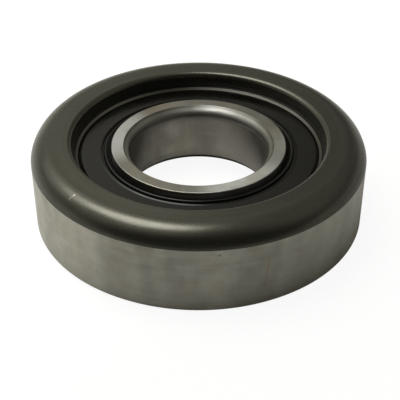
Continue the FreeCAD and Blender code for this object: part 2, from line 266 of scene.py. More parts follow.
class Wiring:
    """Adds nodes to one node tree and joins them."""

    def __init__(self, tree: bpy.types.NodeTree) -> None:
        """Keeps the tree that the nodes go into.

        Args:
            tree: A material's tree or a group's tree.
        """
        self.tree = tree

    def node(self, kind: str, **settings: object) -> Node:
        """Adds one node.

        Args:
            kind: Its type in the program.
            settings: Properties to set on it.

        Returns:
            The new node.
        """
        made = self.tree.nodes.new(kind)
        for key, value in settings.items():
            setattr(made, key, value)
        return made

    def feed(self, socket: Socket, source: object) -> None:
        """Joins or sets one input.

        Args:
            socket: The input.
            source: An output to join, or a plain value to set.
        """
        if isinstance(source, Socket):
            self.tree.links.new(source, socket)
        else:
            socket.default_value = source

    def maths(self, operation: str, *sources: object, clamp: bool = False) -> Socket:
        """Adds one arithmetic node.

        Args:
            operation: The name of the operation.
            sources: Its inputs, outputs of other nodes or numbers.
            clamp: Whether the result is kept between 0 and 1.

        Returns:
            The result.
        """
        made = self.node("ShaderNodeMath", operation=operation, use_clamp=clamp)
        for socket, source in zip(made.inputs, sources):
            self.feed(socket, source)
        return made.outputs[0]

    def vectors(self, operation: str, *sources: object) -> Node:
        """Adds one vector node.

        Args:
            operation: The name of the operation.
            sources: Its inputs, outputs of other nodes or triples.

        Returns:
            The node, whose outputs are Vector and Value.
        """
        made = self.node("ShaderNodeVectorMath", operation=operation)
        for socket, source in zip(made.inputs, sources):
            self.feed(socket, source)
        return made

    def scaled(self, vector: object, factor: object) -> Socket:
        """Multiplies a vector by a number.

        Args:
            vector: The vector.
            factor: The number.

        Returns:
            The longer or shorter vector.
        """
        made = self.node("ShaderNodeVectorMath", operation="SCALE")
        self.feed(made.inputs["Vector"], vector)
        self.feed(made.inputs["Scale"], factor)
        return made.outputs["Vector"]

    def rising(self, value: object, low: float, high: float, bottom: float = 0.0, top: float = 1.0) -> Socket:
        """Turns a range of a value smoothly into another range.

        Args:
            value: What is measured.
            low: Where the change begins.
            high: Where it ends.
            bottom: Result at low and beyond it.
            top: Result at high and beyond it.

        Returns:
            The result.
        """
        made = self.node("ShaderNodeMapRange", interpolation_type="SMOOTHSTEP")
        names = ("Value", "From Min", "From Max", "To Min", "To Max")
        for key, source in zip(names, (value, low, high, bottom, top)):
            self.feed(made.inputs[key], source)
        return made.outputs["Result"]

    def swing(self, value: object, middle: float, reach: float, over: Flat = (0.0, 1.0)) -> Socket:
        """Turns a range of a value into a swing about a middle.

        Args:
            value: What is measured.
            middle: The middle of the result.
            reach: How far the result swings to each side.
            over: The part of the value's range that makes the whole swing.

        Returns:
            The result.
        """
        return self.rising(value, *over, middle - reach, middle + reach)

    def noise(self, vector: object, scale: float = 1.0, detail: float = 2.0, rough: float = 0.5) -> Socket:
        """Adds a cloudy noise.

        Args:
            vector: Where it is read.
            scale: How fine it is.
            detail: How many finer layers it has.
            rough: How strong the finer layers are.

        Returns:
            The noise as a value about 0.5.
        """
        made = self.node("ShaderNodeTexNoise")
        for key, source in (("Vector", vector), ("Scale", scale), ("Detail", detail), ("Roughness", rough)):
            self.feed(made.inputs[key], source)
        return made.outputs["Fac"]

    def blend(self, share: object, first: object, second: object, way: str = "MIX") -> Socket:
        """Blends two colours.

        Args:
            share: How much of the second colour shows.
            first: The first colour.
            second: The second colour.
            way: The way they are blended.

        Returns:
            The colour.
        """
        made = self.node("ShaderNodeMix", data_type="RGBA", blend_type=way)
        self.feed(made.inputs["Factor"], share)
        for key, source in (("A", first), ("B", second)):
            socket = [s for s in made.inputs if s.name == key and s.type == "RGBA"][0]
            if not isinstance(source, Socket):
                source = (*source, 1.0)
            self.feed(socket, source)
        return [s for s in made.outputs if s.type == "RGBA"][0]

    def shaded(self, colour: object, tone: object) -> Socket:
        """Multiplies a colour by a tone.

        Args:
            colour: The colour.
            tone: The factor, the same for red, green and blue.

        Returns:
            The lighter or darker colour.
        """
        shade = self.node("ShaderNodeCombineColor")
        for key in ("Red", "Green", "Blue"):
            self.feed(shade.inputs[key], tone)
        return self.blend(1.0, colour, shade.outputs[0], "MULTIPLY")


NUMBER, TRIPLE = "NodeSocketFloat", "NodeSocketVector"
ORIGIN = (0.0, 0.0, 0.0)


class Effect:
    """One shared shader node group, made when it is first used."""

    title = "effect"
    takes: tuple[tuple[str, object], ...] = ()
    gives: tuple[tuple[str, str], ...] = (("Amount", NUMBER),)

    @classmethod
    def lay(cls, wiring: Wiring, inputs: Sockets) -> Sockets:
        """Lays the group's nodes from its inputs and returns what joins each output, by name."""
        raise NotImplementedError

    @classmethod
    def tree(cls) -> bpy.types.NodeTree:
        """Finds the group, or makes it.

        Returns:
            The group's tree.
        """
        made = bpy.data.node_groups.get(cls.title)
        if made is not None:
            return made
        made = bpy.data.node_groups.new(cls.title, "ShaderNodeTree")
        for name, value in cls.takes:
            kind = NUMBER if isinstance(value, float) else TRIPLE
            socket = made.interface.new_socket(name, in_out="INPUT", socket_type=kind)
            socket.default_value = value
        for name, kind in cls.gives:
            made.interface.new_socket(name, in_out="OUTPUT", socket_type=kind)
        wiring = Wiring(made)
        entry = wiring.node("NodeGroupInput")
        leave = wiring.node("NodeGroupOutput")
        results = cls.lay(wiring, {name: entry.outputs[name] for name, _ in cls.takes})
        for name, _ in cls.gives:
            wiring.feed(leave.inputs[name], results[name])
        return made

    @classmethod
    def use(cls, wiring: Wiring, **inputs: object) -> Node:
        """Adds the group to a tree.

        Args:
            wiring: The tree it goes into.
            inputs: Its inputs by name.

        Returns:
            The group's node.
        """
        made = wiring.node("ShaderNodeGroup", node_tree=cls.tree())
        for name, source in inputs.items():
            wiring.feed(made.inputs[name], source)
        return made

    @classmethod
    def amount(cls, wiring: Wiring, **inputs: object) -> Socket:
        """Adds a group that puts out one amount, and returns that."""
        return cls.use(wiring, **inputs).outputs["Amount"]


class RingPlace(Effect):
    """Where a point of the piece lies: place, radius and height in millimetres, and the way round."""

    title = "ring_place"
    gives = (("Place", TRIPLE), ("Radius", NUMBER), ("Height", NUMBER), ("Around", TRIPLE))

    @classmethod
    def lay(cls, wiring: Wiring, inputs: Sockets) -> Sockets:
        """Lays the group's nodes.

        Args:
            wiring: The group's tree.
            inputs: Its inputs by name; not used, as the group takes none.

        Returns:
            What joins each output, by name.
        """
        place = wiring.scaled(wiring.node("ShaderNodeTexCoord").outputs["Object"], 1 / MM)
        level = wiring.vectors("MULTIPLY", place, (1.0, 1.0, 0.0)).outputs["Vector"]
        radius = wiring.vectors("LENGTH", level).outputs["Value"]
        split = wiring.node("ShaderNodeSeparateXYZ")
        wiring.feed(split.inputs[0], place)
        around = wiring.vectors("NORMALIZE", level).outputs["Vector"]
        return {"Place": place, "Radius": radius, "Height": split.outputs["Z"], "Around": around}


class CutLines(Effect):
    """Lines that a turning or grinding tool leaves round the axis, fine ones and broad ones."""

    title = "cut_lines"
    takes = (("Along", 0.0), ("Around", ORIGIN), ("Pitch", 0.3), ("Wander", 1.0))
    gives = (("Fine", NUMBER), ("Broad", NUMBER))

    @classmethod
    def lay(cls, wiring: Wiring, inputs: Sockets) -> Sockets:
        """Lays the group's nodes.

        Args:
            wiring: The group's tree.
            inputs: Its inputs by name.

        Returns:
            What joins each output, by name.
        """
        results = {}
        for name, width, drift in (("Fine", 1.0, 1.0), ("Broad", 6.0, 0.5)):
            pitch = wiring.maths("MULTIPLY", inputs["Pitch"], width)
            across = wiring.node("ShaderNodeCombineXYZ")
            wiring.feed(across.inputs["Z"], wiring.maths("DIVIDE", inputs["Along"], pitch))
            wander = wiring.maths("MULTIPLY", inputs["Wander"], drift)
            round_it = wiring.scaled(inputs["Around"], wander)
            spot = wiring.vectors("ADD", across.outputs[0], round_it).outputs["Vector"]
            results[name] = wiring.noise(spot, 1.0, 2.0, 0.6)
        return results


class Cloud(Effect):
    """Soft uneven patches, from 0 to 1."""

    title = "cloud"
    takes = (("Place", ORIGIN), ("Size", 10.0), ("Contrast", 1.0))

    @classmethod
    def lay(cls, wiring: Wiring, inputs: Sockets) -> Sockets:
        """Lays the group's nodes.

        Args:
            wiring: The group's tree.
            inputs: Its inputs by name.

        Returns:
            What joins each output, by name.
        """
        finer = wiring.maths("DIVIDE", 1.0, inputs["Size"])
        value = wiring.noise(wiring.scaled(inputs["Place"], finer), 1.0, 4.0, 0.55)
        spread = wiring.maths("MULTIPLY", wiring.maths("SUBTRACT", value, 0.5), inputs["Contrast"])
        return {"Amount": wiring.maths("ADD", wiring.maths("MULTIPLY", spread, 2.0), 0.5, clamp=True)}


class RoundTone(Effect):
    """A tone that changes round the ring and stays nearly the same up its height, from 0 to 1."""

    title = "round_tone"
    takes = (("Around", ORIGIN), ("Height", 0.0), ("Bands", 6.0))

    @classmethod
    def lay(cls, wiring: Wiring, inputs: Sockets) -> Sockets:
        """Lays the group's nodes.

        Args:
            wiring: The group's tree.
            inputs: Its inputs by name.

        Returns:
            What joins each output, by name.
        """
        up = wiring.node("ShaderNodeCombineXYZ")
        wiring.feed(up.inputs["Z"], wiring.maths("MULTIPLY", inputs["Height"], 0.015))
        turned = wiring.scaled(inputs["Around"], inputs["Bands"])
        spot = wiring.vectors("ADD", turned, up.outputs[0]).outputs["Vector"]
        value = wiring.noise(spot, 1.0, 3.0, 0.5)
        return {"Amount": wiring.rising(value, 0.3, 0.7)}


class Stroke(Effect):
    """A short mark between two points, 1 at its middle and 0 beyond its width."""

    title = "stroke"
    takes = (("Place", ORIGIN), ("From", ORIGIN), ("To", (1.0, 0.0, 0.0)), ("Width", 0.3))

    @classmethod
    def lay(cls, wiring: Wiring, inputs: Sockets) -> Sockets:
        """Lays the group's nodes.

        Args:
            wiring: The group's tree.
            inputs: Its inputs by name.

        Returns:
            What joins each output, by name.
        """
        reach = wiring.vectors("SUBTRACT", inputs["To"], inputs["From"]).outputs["Vector"]
        away = wiring.vectors("SUBTRACT", inputs["Place"], inputs["From"]).outputs["Vector"]
        share = wiring.maths(
            "DIVIDE",
            wiring.vectors("DOT_PRODUCT", away, reach).outputs["Value"],
            wiring.vectors("DOT_PRODUCT", reach, reach).outputs["Value"],
            clamp=True,
        )
        nearest = wiring.scaled(reach, share)
        gap = wiring.vectors("DISTANCE", away, nearest).outputs["Value"]
        near = wiring.maths("DIVIDE", gap, inputs["Width"])
        return {"Amount": wiring.rising(near, 0.35, 1.0, 1.0, 0.0)}


class Specks(Effect):
    """Sparse small spots, 1 inside a spot and 0 elsewhere."""

    title = "specks"
    takes = (("Place", ORIGIN), ("Spacing", 6.0), ("Size", 0.2), ("Share", 0.3))

    @classmethod
    def lay(cls, wiring: Wiring, inputs: Sockets) -> Sockets:
        """Lays the group's nodes.

        Args:
            wiring: The group's tree.
            inputs: Its inputs by name.

        Returns:
            What joins each output, by name.
        """
        cells = wiring.node("ShaderNodeTexVoronoi")
        finer = wiring.maths("DIVIDE", 1.0, inputs["Spacing"])
        wiring.feed(cells.inputs["Vector"], wiring.scaled(inputs["Place"], finer))
        wiring.feed(cells.inputs["Scale"], 1.0)
        gap = wiring.maths("MULTIPLY", cells.outputs["Distance"], inputs["Spacing"])
        near = wiring.rising(wiring.maths("DIVIDE", gap, inputs["Size"]), 0.5, 1.0, 1.0, 0.0)
        split = wiring.node("ShaderNodeSeparateColor")
        wiring.feed(split.inputs[0], cells.outputs["Color"])
        chosen = wiring.maths("LESS_THAN", split.outputs[0], inputs["Share"])
        return {"Amount": wiring.maths("MULTIPLY", near, chosen)}


@dataclass(frozen=True)
class Mark:
    """One mark on a surface, between two points given by angle, radius and height.

    Attributes:
        start: Angle in degrees, radius and height in millimetres where it starts.
        end: The same where it ends.
        width: Half its width in millimetres.
        colour: Its colour.
        strength: How much of its colour shows at its middle.
        depth: How deep it is cut, as a multiple of the tool lines.
    """

    start: Triple
    end: Triple
    width: float
    colour: Colour
    strength: float = 1.0
    depth: float = 0.0

    def spot(self, place: Triple) -> Triple:
        """Turns an angle, radius and height into a point.

        Args:
            place: Angle in degrees, radius and height in millimetres.

        Returns:
            The point in millimetres.
        """
        angle, radius, height = place
        turned = math.radians(angle)
        return (radius * math.cos(turned), radius * math.sin(turned), height)

    def lay(self, wiring: Wiring, place: Socket, colour: object) -> tuple[Socket, Socket]:
        """Lays the mark over a colour.

        Args:
            wiring: The material's tree.
            place: The point in millimetres.
            colour: The colour beneath.

        Returns:
            The new colour and the mark's mask.
        """
        start, end = self.spot(self.start), self.spot(self.end)
        stroke = Stroke.amount(wiring, Place=place, From=start, To=end, Width=self.width)
        mask = wiring.maths("MULTIPLY", stroke, self.strength)
        return wiring.blend(mask, colour, self.colour), mask


@dataclass(frozen=True)
class PaintedLightPatch:
    """A soft patch of painted light across part of a ring: a painted highlight where it is brighter than the
    rest, painted shade where it is darker.

    Attributes:
        angle: Where its middle lies, in degrees.
        half_width: How far it reaches to each side, in degrees.
        colour: Its colour at the middle.
        strength: How much of its colour shows there.
        above: Height where it starts to show, in millimetres.
    """

    angle: float
    half_width: float
    colour: Colour
    strength: float = 1.0
    above: float = -1.0

    def lay(self, wiring: Wiring, ring: Node, colour: object) -> Socket:
        """Lays the patch over a colour.

        Args:
            wiring: The material's tree.
            ring: Where the point lies on the ring.
            colour: The colour beneath.

        Returns:
            The new colour.
        """
        turned = math.radians(self.angle)
        middle = (math.cos(turned), math.sin(turned), 0.0)
        near = wiring.vectors("DOT_PRODUCT", ring.outputs["Around"], middle).outputs["Value"]
        edge = math.cos(math.radians(self.half_width))
        mask = wiring.maths("MULTIPLY", wiring.rising(near, edge, 1.0), self.strength)
        high = wiring.rising(ring.outputs["Height"], self.above, self.above + 1.0)
        mask = wiring.maths("MULTIPLY", mask, high)
        return wiring.blend(mask, colour, self.colour)


@dataclass(frozen=True)
class Shading:
    """Painted light and shade: a tone that changes smoothly between two heights.

    Attributes:
        low: The lower height, in millimetres.
        high: The upper height.
        below: Share of the colour at the lower height and under it.
        above: Share of the colour at the upper height and over it.
    """

    low: float
    high: float
    below: float
    above: float

    def lay(self, wiring: Wiring, ring: Node, colour: object) -> Socket:
        """Lays the tone over a colour, by the point's height on the ring, and returns the new colour."""
        tone = wiring.rising(ring.outputs["Height"], self.low, self.high, self.below, self.above)
        return wiring.shaded(colour, tone)


BROAD_RANGE, FINE_RANGE = (0.25, 0.75), (0.2, 0.8)
STAIN_SIZE, STAIN_CONTRAST, STAIN_RANGE = 11.0, 2.2, (0.55, 1.0)
PIT_SPACING, PIT_SIZE, PIT_SHARE = 4.0, 0.28, 0.25


@dataclass(frozen=True)
class Finish:
    """A finish: one material with its colours and roughness.

    Attributes:
        name: Name of the material.
        colour: Its main colour.
        second: The colour of its patches.
        roughness: Its mean roughness.
        metallic: How metallic it is.
        index: Refractive index of the part that isn't metallic.
        gloss: Strength of that part's reflection.
    """

    name: str
    colour: Colour
    second: Colour
    roughness: float
    metallic: float = 1.0
    index: float = 1.5
    gloss: float = 0.5

    def paint(self, wiring: Wiring, shader: Node) -> None:
        """Lays the nodes that feed the shader."""
        raise NotImplementedError

    def make(self) -> bpy.types.Material:
        """Makes the material, or finds it if it was made before.

        Returns:
            The material.
        """
        made = bpy.data.materials.get(self.name)
        if made is not None:
            return made
        made = bpy.data.materials.new(self.name)
        made.use_nodes = True
        wiring = Wiring(made.node_tree)
        shader = made.node_tree.nodes["Principled BSDF"]
        shader.inputs["Metallic"].default_value = self.metallic
        shader.inputs["IOR"].default_value = self.index
        shader.inputs["Specular IOR Level"].default_value = self.gloss
        made.diffuse_color = (*self.colour, 1.0)
        self.paint(wiring, shader)
        return made

    def bump(self, wiring: Wiring, shader: Node, height: object, strength: float, depth: float) -> None:
        """Feeds the shader's normal from a height.

        Args:
            wiring: The material's tree.
            shader: The shader.
            height: The height, from 0 to 1.
            strength: How strongly it shows.
            depth: What a height of 1 stands for, in millimetres.
        """
        made = wiring.node("ShaderNodeBump")
        made.inputs["Strength"].default_value = strength
        made.inputs["Distance"].default_value = depth * MM
        wiring.feed(made.inputs["Height"], height)
        wiring.feed(shader.inputs["Normal"], made.outputs["Normal"])

    def brush(self, wiring: Wiring, shader: Node, amount: float) -> None:
        """Stretches the gloss across the tool lines, which run round the axis.

        Args:
            wiring: The material's tree.
            shader: The shader.
            amount: How far it is stretched, from 0 to 1.
        """
        shader.inputs["Anisotropic"].default_value = amount
        shader.inputs["Anisotropic Rotation"].default_value = 0.25
        lines = wiring.node("ShaderNodeTangent", direction_type="RADIAL", axis="Z")
        wiring.feed(shader.inputs["Tangent"], lines.outputs["Tangent"])


@dataclass(frozen=True)
class TurnedSteel(Finish):
    """Turned or ground steel: fine lines round the axis, tonal bands, stains, pits, marks, and layers of
    painted light and shade.

    Attributes:
        pitch: Spacing of the tool lines in millimetres.
        wander: How far the lines waver round the ring.
        line_tone: How far the broad lines change the tone.
        line_gloss: How far the fine lines change the roughness.
        patch_size: Size of the soft patches in millimetres.
        patch_contrast: How sharply they stand out.
        patch_gloss: How far they change the roughness.
        grained: How far a fine grain changes the tone.
        grain_size: Size of the grain in millimetres.
        grain_relief: Height of the grain, as a multiple of the tool lines.
        bands: How many tonal bands there are round the ring, roughly.
        band_depth: How strongly they show.
        stain: Colour of the stains and the pits.
        stained: How much of the stains shows.
        pitted: How much of the pits shows.
        relief: How strongly the relief shows.
        line_depth: Depth of the tool lines in millimetres.
        brushed: How far the gloss is stretched across the lines.
        layers: Patches and shadings of painted light and shade, laid over the colour in order.
        marks: Streaks, nicks, pits and scratches.
    """

    pitch: float = 0.22
    wander: float = 2.5
    line_tone: float = 0.04
    line_gloss: float = 0.05
    patch_size: float = 5.0
    patch_contrast: float = 1.4
    patch_gloss: float = 0.04
    grained: float = 0.0
    grain_size: float = 0.9
    grain_relief: float = 0.4
    bands: float = 5.0
    band_depth: float = 0.1
    stain: Colour = (0.30, 0.22, 0.13)
    stained: float = 0.15
    pitted: float = 0.35
    relief: float = 0.4
    line_depth: float = 0.003
    brushed: float = 0.5
    layers: tuple[PaintedLightPatch | Shading, ...] = ()
    marks: tuple[Mark, ...] = ()

    def paint(self, wiring: Wiring, shader: Node) -> None:
        """Lays the nodes that feed the shader.

        Args:
            wiring: The material's tree.
            shader: The shader.
        """
        ring = RingPlace.use(wiring)
        place, around = ring.outputs["Place"], ring.outputs["Around"]
        along = wiring.node("ShaderNodeAttribute", attribute_name="along").outputs["Fac"]
        lines = CutLines.use(wiring, Along=along, Around=around, Pitch=self.pitch, Wander=self.wander)
        patches = Cloud.amount(wiring, Place=place, Size=self.patch_size, Contrast=self.patch_contrast)
        height = lines.outputs["Fine"]
        tone = wiring.swing(lines.outputs["Broad"], 1.0, self.line_tone, BROAD_RANGE)
        if self.grained:
            grains = Cloud.amount(wiring, Place=place, Size=self.grain_size)
            tone = wiring.maths("MULTIPLY", tone, wiring.swing(grains, 1.0, self.grained))
            height = wiring.maths("ADD", height, wiring.maths("MULTIPLY", grains, self.grain_relief))
        if self.band_depth:
            bands = RoundTone.amount(wiring, Around=around, Height=ring.outputs["Height"], Bands=self.bands)
            tone = wiring.maths("MULTIPLY", tone, wiring.swing(bands, 1.0, self.band_depth))
        colour = wiring.shaded(wiring.blend(patches, self.colour, self.second), tone)
        for layer in self.layers:
            colour = layer.lay(wiring, ring, colour)
        if self.stained:
            stains = Cloud.amount(wiring, Place=place, Size=STAIN_SIZE, Contrast=STAIN_CONTRAST)
            stains = wiring.maths("MULTIPLY", wiring.rising(stains, *STAIN_RANGE), self.stained)
            colour = wiring.blend(stains, colour, self.stain)
        if self.pitted:
            pits = Specks.amount(wiring, Place=place, Spacing=PIT_SPACING, Size=PIT_SIZE, Share=PIT_SHARE)
            colour = wiring.blend(wiring.maths("MULTIPLY", pits, self.pitted), colour, self.stain)
            height = wiring.maths("SUBTRACT", height, pits)
        for mark in self.marks:
            colour, mask = mark.lay(wiring, place, colour)
            if mark.depth:
                height = wiring.maths("SUBTRACT", height, wiring.maths("MULTIPLY", mask, mark.depth))
        wiring.feed(shader.inputs["Base Color"], colour)
        rough = wiring.swing(patches, self.roughness, self.patch_gloss)
        ripple = wiring.swing(lines.outputs["Fine"], 0.0, self.line_gloss, FINE_RANGE)
        wiring.feed(shader.inputs["Roughness"], wiring.maths("ADD", rough, ripple))
        self.bump(wiring, shader, height, self.relief, self.line_depth)
        self.brush(wiring, shader, self.brushed)


@dataclass(frozen=True)
class GrainedSkin(Finish):
    """A pressed, headed, lapped or moulded surface: soft patches, a fine grain and sparse specks.

    Attributes:
        patch_size: Size of the soft patches in millimetres.
        patch_contrast: How sharply they stand out.
        patch_gloss: How far they lower and raise the roughness.
        grain: Size of the grain in millimetres.
        grain_contrast: How sharply it stands out.
        grain_gloss: How far it changes the roughness.
        grain_depth: Depth of the grain in millimetres.
        relief: How strongly the relief shows.
        spacing: Spacing of the specks in millimetres.
        speck: Size of a speck in millimetres.
        share: Share of the places that hold a speck.
        specks: Colour of the specks.
        speckled: How much of the specks shows.
        pitted: Whether the specks are pits.
    """

    patch_size: float = 3.5
    patch_contrast: float = 1.3
    patch_gloss: Flat = (0.0, 0.0)
    grain: float = 0.5
    grain_contrast: float = 1.2
    grain_gloss: float = 0.04
    grain_depth: float = 0.006
    relief: float = 0.5
    spacing: float = 1.8
    speck: float = 0.08
    share: float = 0.2
    specks: Colour = (0.16, 0.13, 0.10)
    speckled: float = 0.4
    pitted: bool = True

    def paint(self, wiring: Wiring, shader: Node) -> None:
        """Lays the nodes that feed the shader.

        Args:
            wiring: The material's tree.
            shader: The shader.
        """
        place = RingPlace.use(wiring).outputs["Place"]
        patches = Cloud.amount(wiring, Place=place, Size=self.patch_size, Contrast=self.patch_contrast)
        grains = Cloud.amount(wiring, Place=place, Size=self.grain, Contrast=self.grain_contrast)
        specks = Specks.amount(wiring, Place=place, Spacing=self.spacing, Size=self.speck, Share=self.share)
        colour = wiring.blend(patches, self.colour, self.second)
        colour = wiring.blend(wiring.maths("MULTIPLY", specks, self.speckled), colour, self.specks)
        wiring.feed(shader.inputs["Base Color"], colour)
        lower, higher = self.patch_gloss
        rough = wiring.rising(patches, 0.0, 1.0, self.roughness - lower, self.roughness + higher)
        rough = wiring.maths("ADD", rough, wiring.swing(grains, 0.0, self.grain_gloss))
        wiring.feed(shader.inputs["Roughness"], rough)
        height = wiring.maths("SUBTRACT", grains, specks) if self.pitted else grains
        self.bump(wiring, shader, height, self.relief, self.grain_depth)


BLACKENED = TurnedSteel(
    name="oxide_blackened_steel",
    colour=(0.074, 0.0725, 0.058),
    second=(0.066, 0.0645, 0.0515),
    roughness=0.27,
    metallic=0.87,
    index=2.2,
    pitch=0.32,
    wander=1.6,
    line_tone=0.14,
    line_gloss=0.02,
    patch_size=14.0,
    patch_contrast=1.5,
    patch_gloss=0.03,
    grained=0.07,
    band_depth=0.0,
    stained=0.0,
    pitted=0.0,
    relief=0.3,
    brushed=0.35,
    marks=(
        Mark((222.1, 51.2, 26.6), (222.6, 49.45, 27.56), 0.21, (0.50, 0.49, 0.46), depth=1.5),
        Mark((359.9, 50.4, 27.1), (1.6, 49.6, 27.5), 0.16, (0.38, 0.37, 0.33), 0.6, depth=1.5),
    ),
)
RECESSED = replace(
    BLACKENED,
    name="oxide_recess_wall",
    colour=(0.074, 0.0725, 0.060),
    second=(0.066, 0.0645, 0.053),
    roughness=0.30,
    metallic=0.66,
    marks=(),
)
# Painted shade: the ledge deep in the recess is given a near-black colour, far darker than the recess wall.
LEDGE = replace(
    RECESSED,
    name="oxide_ledge_painted_shade",
    colour=(0.018, 0.0175, 0.0145),
    second=(0.014, 0.0135, 0.011),
    roughness=0.34,
    metallic=0.87,
    index=1.6,
)
MOUTH = replace(
    RECESSED,
    name="oxide_worn_mouth",
    colour=(0.135, 0.133, 0.118),
    second=(0.118, 0.116, 0.102),
    roughness=0.36,
    metallic=0.90,
    index=2.0,
    brushed=0.93,
)
TREAD = TurnedSteel(
    name="ground_steel_tread",
    colour=(0.425, 0.418, 0.37),
    second=(0.382, 0.373, 0.328),
    roughness=0.42,
    stained=0.10,
    bands=4.0,
    band_depth=0.10,
    brushed=0.6,
    marks=(
        Mark((291.0, 54.0, 7.0), (292.2, 54.0, 16.0), 0.5, (0.34, 0.22, 0.17), 0.35),
        Mark((276.2, 54.0, 20.85), (276.4, 54.0, 20.95), 0.32, (0.10, 0.085, 0.07), 0.8),
    ),
)
FACE = TurnedSteel(
    name="ground_steel_face",
    colour=(0.265, 0.26, 0.235),
    second=(0.235, 0.228, 0.205),
    roughness=0.34,
    stained=0.25,
    bands=3.0,
    band_depth=0.08,
    brushed=0.2,
    # Painted highlights: the bright patches about 169°, 346° and 303° stand in for the highlights on the
    # face.
    layers=(
        PaintedLightPatch(169.0, 40.0, (0.58, 0.585, 0.60)),
        PaintedLightPatch(346.0, 40.0, (0.39, 0.39, 0.37)),
        PaintedLightPatch(303.0, 38.0, (0.74, 0.75, 0.76)),
    ),
)
CORNER = TurnedSteel(
    name="turned_steel_bore_corner",
    colour=(0.44, 0.44, 0.41),
    second=(0.40, 0.395, 0.365),
    roughness=0.40,
    stained=0.12,
    bands=3.0,
    band_depth=0.06,
    brushed=0.98,
    # Painted light and shade on the bore corner: a painted dark band low on the corner that blends into the
    # bore's tone below, a painted glint about 91°, patches about 142° and 22° that lighten the dark band, and
    # painted shade towards the face's edge.
    layers=(
        Shading(20.6, 21.5, 2.6, 1.0),
        Shading(21.6, 23.35, 0.27, 1.0),
        PaintedLightPatch(91.0, 36.0, (0.95, 0.95, 0.93), above=22.5),
        PaintedLightPatch(142.0, 42.0, (0.30, 0.295, 0.265), 0.5, above=20.9),
        PaintedLightPatch(22.0, 34.0, (0.32, 0.315, 0.285), 0.35, above=20.9),
        Shading(23.6, 24.4, 1.0, 0.5),
    ),
)
# Painted shade: the lower chamfer at the foot of the bore, under the ring, is given a dark colour.
UNDERSIDE = TurnedSteel(
    name="turned_steel_lower_chamfer",
    colour=(0.13, 0.128, 0.115),
    second=(0.10, 0.098, 0.088),
    roughness=0.36,
    stained=0.05,
    bands=4.0,
    band_depth=0.08,
    brushed=0.4,
)
BORE = TurnedSteel(
    name="ground_steel_bore",
    colour=(0.31, 0.30, 0.262),
    second=(0.275, 0.264, 0.232),
    roughness=0.36,
    stained=0.08,
    bands=4.0,
    band_depth=0.08,
    brushed=0.5,
    # Painted highlight: the bore wall is lighter about 46°.
    layers=(PaintedLightPatch(46.0, 40.0, (0.40, 0.385, 0.345)),),
)
RACEWAY = TurnedSteel(
    name="honed_steel_raceway",
    colour=(0.62, 0.62, 0.60),
    second=(0.58, 0.58, 0.56),
    roughness=0.16,
    pitch=0.12,
    stained=0.0,
    band_depth=0.03,
    brushed=0.3,
)
RUBBER = GrainedSkin(
    name="moulded_seal_rubber",
    colour=(0.0022, 0.0020, 0.0015),
    second=(0.0032, 0.0029, 0.0022),
    roughness=0.21,
    metallic=0.0,
    gloss=0.28,
    patch_size=9.0,
    patch_contrast=1.6,
    patch_gloss=(0.04, 0.05),
    grain=0.35,
    grain_contrast=1.4,
    grain_gloss=0.03,
    relief=0.4,
    spacing=2.2,
    speck=0.1,
    share=0.15,
    specks=(0.20, 0.19, 0.17),
    speckled=0.25,
    pitted=False,
)
PRESSED = GrainedSkin(
    name="pressed_ribbon_steel",
    colour=(0.52, 0.51, 0.48),
    second=(0.45, 0.44, 0.41),
    roughness=0.36,
)
RIVETED = replace(
    PRESSED,
    name="headed_rivet_steel",
    colour=(0.60, 0.59, 0.56),
    second=(0.52, 0.51, 0.48),
    roughness=0.30,
)
LAPPED = replace(
    PRESSED,
    name="lapped_ball_steel",
    colour=(0.68, 0.68, 0.67),
    second=(0.65, 0.65, 0.64),
    roughness=0.09,
    grain=1.2,
    grain_depth=0.001,
)


